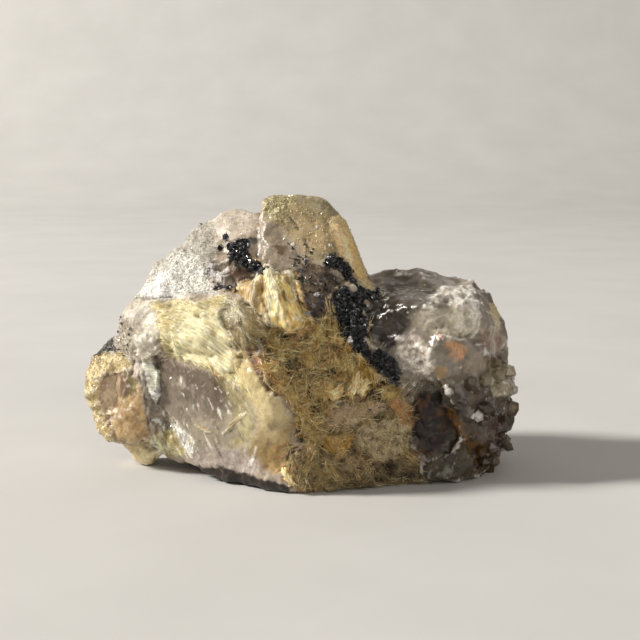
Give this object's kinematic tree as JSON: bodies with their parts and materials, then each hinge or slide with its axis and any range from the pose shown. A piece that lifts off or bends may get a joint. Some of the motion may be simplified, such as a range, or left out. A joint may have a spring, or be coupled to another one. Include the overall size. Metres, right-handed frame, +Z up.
{
  "type": "rutilated quartz specimen",
  "caption": "Natural hand specimen of smoky quartz with golden rutile, black hematite plates and a clear crystal on top, lying on its uneven underside.",
  "frame": {"origin": "on the surface the specimen rests on, below the middle of its bounding box", "axes": "+X runs along the specimen from the jutting left corner to the drusy right end, -Y is the showing face, +Z is up"},
  "size_m": [0.083, 0.0462, 0.0523],
  "materials": {
    "quartz": "glossy broken faces with frosted and felted patches"
  },
  "bodies": {
    "root": {"rutilated_quartz": "quartz"}
  },
  "joints": []
}
